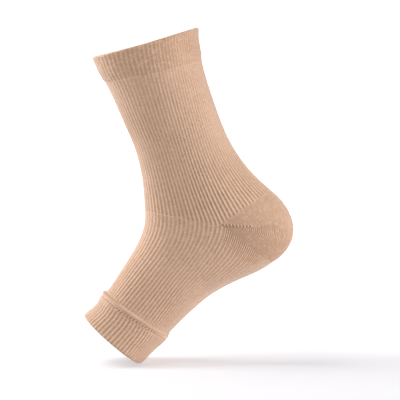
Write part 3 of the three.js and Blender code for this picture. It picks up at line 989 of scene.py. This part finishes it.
class SOCK_OT_seam(bpy.types.Operator):
    """Raise the toe seam as a rolled welt and lay its stitches and dark beads of painted shade in the groove
    beside them
    """

    bl_idname = "sock.seam"
    bl_label = "Toe seam"

    def execute(self, context):
        form = Form(context.scene)
        knit, shares = form.knit, places_round(form.columns)[0]
        width = form.toe_cuff_share - form.seam_share
        outer_rows = 30
        across = np.concatenate([np.linspace(0, 1, outer_rows), [1, 0]])
        inside = np.arange(len(across)) >= outer_rows
        stations = form.seam_share + across * width
        points, normals = form.grid("foot", stations, form.columns)

        # The roll starts at top and ends at foot across the welt, and fades from the instep to the sole.
        under = smooth(0.1, 0.9, shares)
        rise, top, foot = form.sizes.seam_rise * (1 - 0.75 * under), 0.16 + 0.3 * under, 0.84
        place = np.clip((across[:, None] - top) / (foot - top), 0, 1)
        roll = np.sin(math.pi * place) ** 0.8
        crease, groove_depth, groove_width = 0.96 - 0.08 * smooth(0.1, 0.6, shares), 0.0003, 0.05
        groove = groove_depth * np.exp(-(((across[:, None] - crease) / groove_width) ** 2))
        proud = knit.cuff_rise * smooth(0.85, 1.0, across)[:, None]
        height = np.where(inside[:, None], -form.skin, roll * rise + proud - groove)
        points = points + normals * height[:, :, None]
        sole = 1 - smooth(0.66, 0.74, shares)
        ribbed = (1 - smooth(0, 0.35, place)) * 0.45 * form.strength("foot", stations, shares) * sole
        side = np.where(inside, INNER_RELIEF, 1.0)
        along = stations * form.sizes.foot_length
        made = ring_mesh("toe_welt", form, points, normals, side, stations, along, ribbed, 0.15)
        finish_knit(made, form, "rib_knit", "toe_seam")

        # Each row's places across the welt, at the instep and at the sole, its depth and its first column.
        loops = 2 * knit.rib_count
        sides = smooth(0.1, 0.6, places_round(loops)[0])[:, None]
        for name, instep, sole, sunk, first, material, size in (
            ("toe_stitches", 0.91, 0.83, -0.0001, 0, "seam_thread", (0.0028, 0.0012, 0.0013)),
            # The toe dots are dark beads of painted shade in the welt's groove.
            ("toe_shade_dots", 0.96, 0.88, 0.0002, 1, "hole_shade", (0.0018, 0.0008, 0.0005)),
        ):
            lines = [form.grid("foot", [form.seam_share + at * width], loops) for at in (instep, sole)]
            (front, outward), (back, _) = lines
            line = front[0] + (back[0] - front[0]) * sides - outward[0] * sunk
            line, outward = line[first::2], outward[0][first::2]
            lay_stitches(name, "toe_seam", form, material, line, outward, size, 50, closed=True)
        return {"FINISHED"}


class SOCK_OT_gore(bpy.types.Operator):
    """Lay dark beads of painted shade for the small fashioning holes, and the pale loops between them, along
    each gore line
    """

    bl_idname = "sock.gore"
    bl_label = "Gore line"

    def execute(self, context):
        form = Form(context.scene)
        grid, normals, lengths = heel_grid(form, [0.5])
        sunk = 0.42 * smooth(0, 0.004, np.linspace(0, lengths[0], HEEL_HALF_COLUMNS + 1))
        sunk = form.knit.rib_depth * np.concatenate([sunk, sunk[:-1][::-1]])[:, None]
        step = HEEL_HALF_COLUMNS / (lengths[0] / form.knit.hole_pitch)
        for label, order in (("near", -1), ("far", 1)):
            line, outward = (grid[0] - normals[0] * sunk)[::order], normals[0][::order]
            for part, first, last, shift, material, size, slant in (
                # Each hole is a dark bead of painted shade, standing for the shade inside it.
                ("hole_shade_front", 0.0, 0.30, 0.0, "hole_shade", (0.0022, 0.0011, 0.0006), 55),
                ("loops_front", 0.0, 0.30, 0.5, "seam_thread", (0.0024, 0.0009, 0.0009), 55),
                ("hole_shade_back", 0.42, 0.6, 0.0, "hole_shade", (0.0014, 0.0006, 0.0004), 80),
            ):
                start, stop = int(HEEL_HALF_COLUMNS * first), int(HEEL_HALF_COLUMNS * last)
                count = max(int((stop - start) / step) + 1, 2)
                picked = slice(start + round(shift * step), stop + round(shift * step))
                name, row, out = f"gore_{part}_{label}", line[picked], outward[picked]
                lay_stitches(name, "heel_pocket", form, material, row, out, size, slant * order, count)
        return {"FINISHED"}


class SOCK_OT_loops(bpy.types.Operator):
    """Lay the paler courses of loops at the front of the top hem's edge and of the ankle"""

    bl_idname = "sock.loops"
    bl_label = "Pale courses"

    def execute(self, context):
        form = Form(context.scene)
        loops = 2 * form.knit.rib_count
        for name, at, share, sunk, slot in (
            ("hem_loops", form.cuff_share, 0.16, 0.55, "top_cuff"),
            ("ankle_loops", 1.0, 0.15, 0.38, "leg_tube"),
        ):
            line, outward = form.grid("leg", [at], loops)
            line = line[0] - outward[0] * form.knit.rib_depth * sunk
            reach = int(loops * share)
            picked = np.arange(-reach, reach + 1) % loops
            size = (0.0018, 0.0007, 0.0006)
            lay_stitches(name, slot, form, "seam_thread", line[picked], outward[0][picked], size, 0)
        return {"FINISHED"}


def aim(made, place, target):
    """Puts a camera or light at a place and turns it to look at a point."""
    made.location = place
    made.rotation_mode = "QUATERNION"
    made.rotation_quaternion = (target - place).to_track_quat("-Z", "Y")


def lay_floor(stage):
    """A floor that bends up into a backdrop far behind the sock."""
    wall, bend, reach, steps = 3.2, 0.8, 5.0, 12
    profile = [(-reach, 0.0), (wall, 0.0)]
    for k in range(1, steps + 1):
        angle = math.pi / 2 * k / steps
        profile.append((wall + bend * math.sin(angle), bend * (1 - math.cos(angle))))
    profile.append((wall + bend, reach))
    ground = SOLID_BOX[0].z - stage.floor_gap
    points = [(x, y, z + ground) for y, z in profile for x in (-reach, reach)]
    faces = [(2 * i, 2 * i + 1, 2 * i + 3, 2 * i + 2) for i in range(len(profile) - 1)]
    mesh = bpy.data.meshes.new("floor")
    mesh.from_pydata(points, [], faces)
    mesh.shade_smooth()
    mesh.materials.append(paper_material("paper", stage))
    floor = new_object("floor", mesh)
    return floor


class SOCK_OT_stage(bpy.types.Operator):
    """Set the camera, the pale floor and the soft light"""

    bl_idname = "sock.stage"
    bl_label = "Stage"

    def execute(self, context):
        scene = context.scene
        stage = scene.sock_stage
        target = Vector((-0.0727, 0, 0.0204))
        place = Vector((target.x, -stage.camera_distance, stage.camera_height))
        camera = new_object("camera", bpy.data.cameras.new("camera"))
        aim(camera, place, target)
        camera.data.lens = camera.data.sensor_width * (target - place).length / stage.frame_width
        camera.data.clip_start, camera.data.clip_end = 0.05, 60
        scene.camera = camera
        scene.view_settings.view_transform = "Standard"

        world = bpy.data.worlds.new("studio")
        world.use_nodes = True
        sky = world.node_tree.nodes["Background"].inputs
        sky["Color"].default_value = (1, 1, 1, 1)
        sky["Strength"].default_value = stage.sky
        scene.world = world

        not_lit = bpy.data.collections.new("not_lit")
        not_lit.objects.link(lay_floor(stage))
        not_lit.collection_objects[0].light_linking.link_state = "EXCLUDE"
        for name, turn, rise, distance, size, power, on_floor in (
            ("key", 75, 15, 1.9, 1.0, stage.key_power, False),
            ("front", -30, 40, 1.9, 1.0, stage.front_power, True),
            ("edge", -120, 12, 1.7, 0.6, stage.edge_power, False),
            ("top", -95, 53, 1.5, 1.2, stage.top_power, True),
        ):
            turn, rise = math.radians(turn), math.radians(rise)
            level = math.cos(rise)
            away = Vector((math.sin(turn) * level, -math.cos(turn) * level, math.sin(rise)))
            lamp = new_object(name, bpy.data.lights.new(name, "AREA"))
            lamp.data.size, lamp.data.energy, lamp.data.color = size, power, (1, 0.98, 0.97)
            aim(lamp, target + away * distance, target)
            if not on_floor:
                lamp.light_linking.receiver_collection = not_lit
        return {"FINISHED"}


class SOCK_PT_panel(bpy.types.Panel):
    """Sizes, colours and steps of the sock"""

    bl_idname = "SOCK_PT_panel"
    bl_label = "Ankle support sock"
    bl_space_type = "VIEW_3D"
    bl_region_type = "UI"
    bl_category = "Sock"

    def draw(self, context):
        for key in GROUPS:
            group = getattr(context.scene, key)
            box = self.layout.box()
            box.label(text=key.removeprefix("sock_").capitalize())
            for name in group.__annotations__:
                box.prop(group, name)
        for step in STEPS:
            self.layout.operator(step.bl_idname)


PIECES = (SOCK_OT_leg, SOCK_OT_foot, SOCK_OT_cuffs, SOCK_OT_heel, SOCK_OT_seam, SOCK_OT_gore, SOCK_OT_loops)
STEPS = (*PIECES, SOCK_OT_stage)
GROUPS = {"sock_form": SockForm, "sock_knit": SockKnit, "sock_colours": SockColours, "sock_stage": SockStage}
CLASSES = (*GROUPS.values(), *STEPS, SOCK_PT_panel)


def register():
    for made in CLASSES:
        bpy.utils.register_class(made)
    for name, group in GROUPS.items():
        setattr(bpy.types.Scene, name, bpy.props.PointerProperty(type=group))


def unregister():
    for name in GROUPS:
        delattr(bpy.types.Scene, name)
    for made in reversed(CLASSES):
        bpy.utils.unregister_class(made)


def main():
    register()
    bpy.ops.sock.leg()
    bpy.ops.sock.foot()
    bpy.ops.sock.cuffs()
    bpy.ops.sock.heel()
    bpy.ops.sock.seam()
    bpy.ops.sock.gore()
    bpy.ops.sock.loops()
    bpy.ops.sock.stage()


if __name__ == "__main__":
    main()
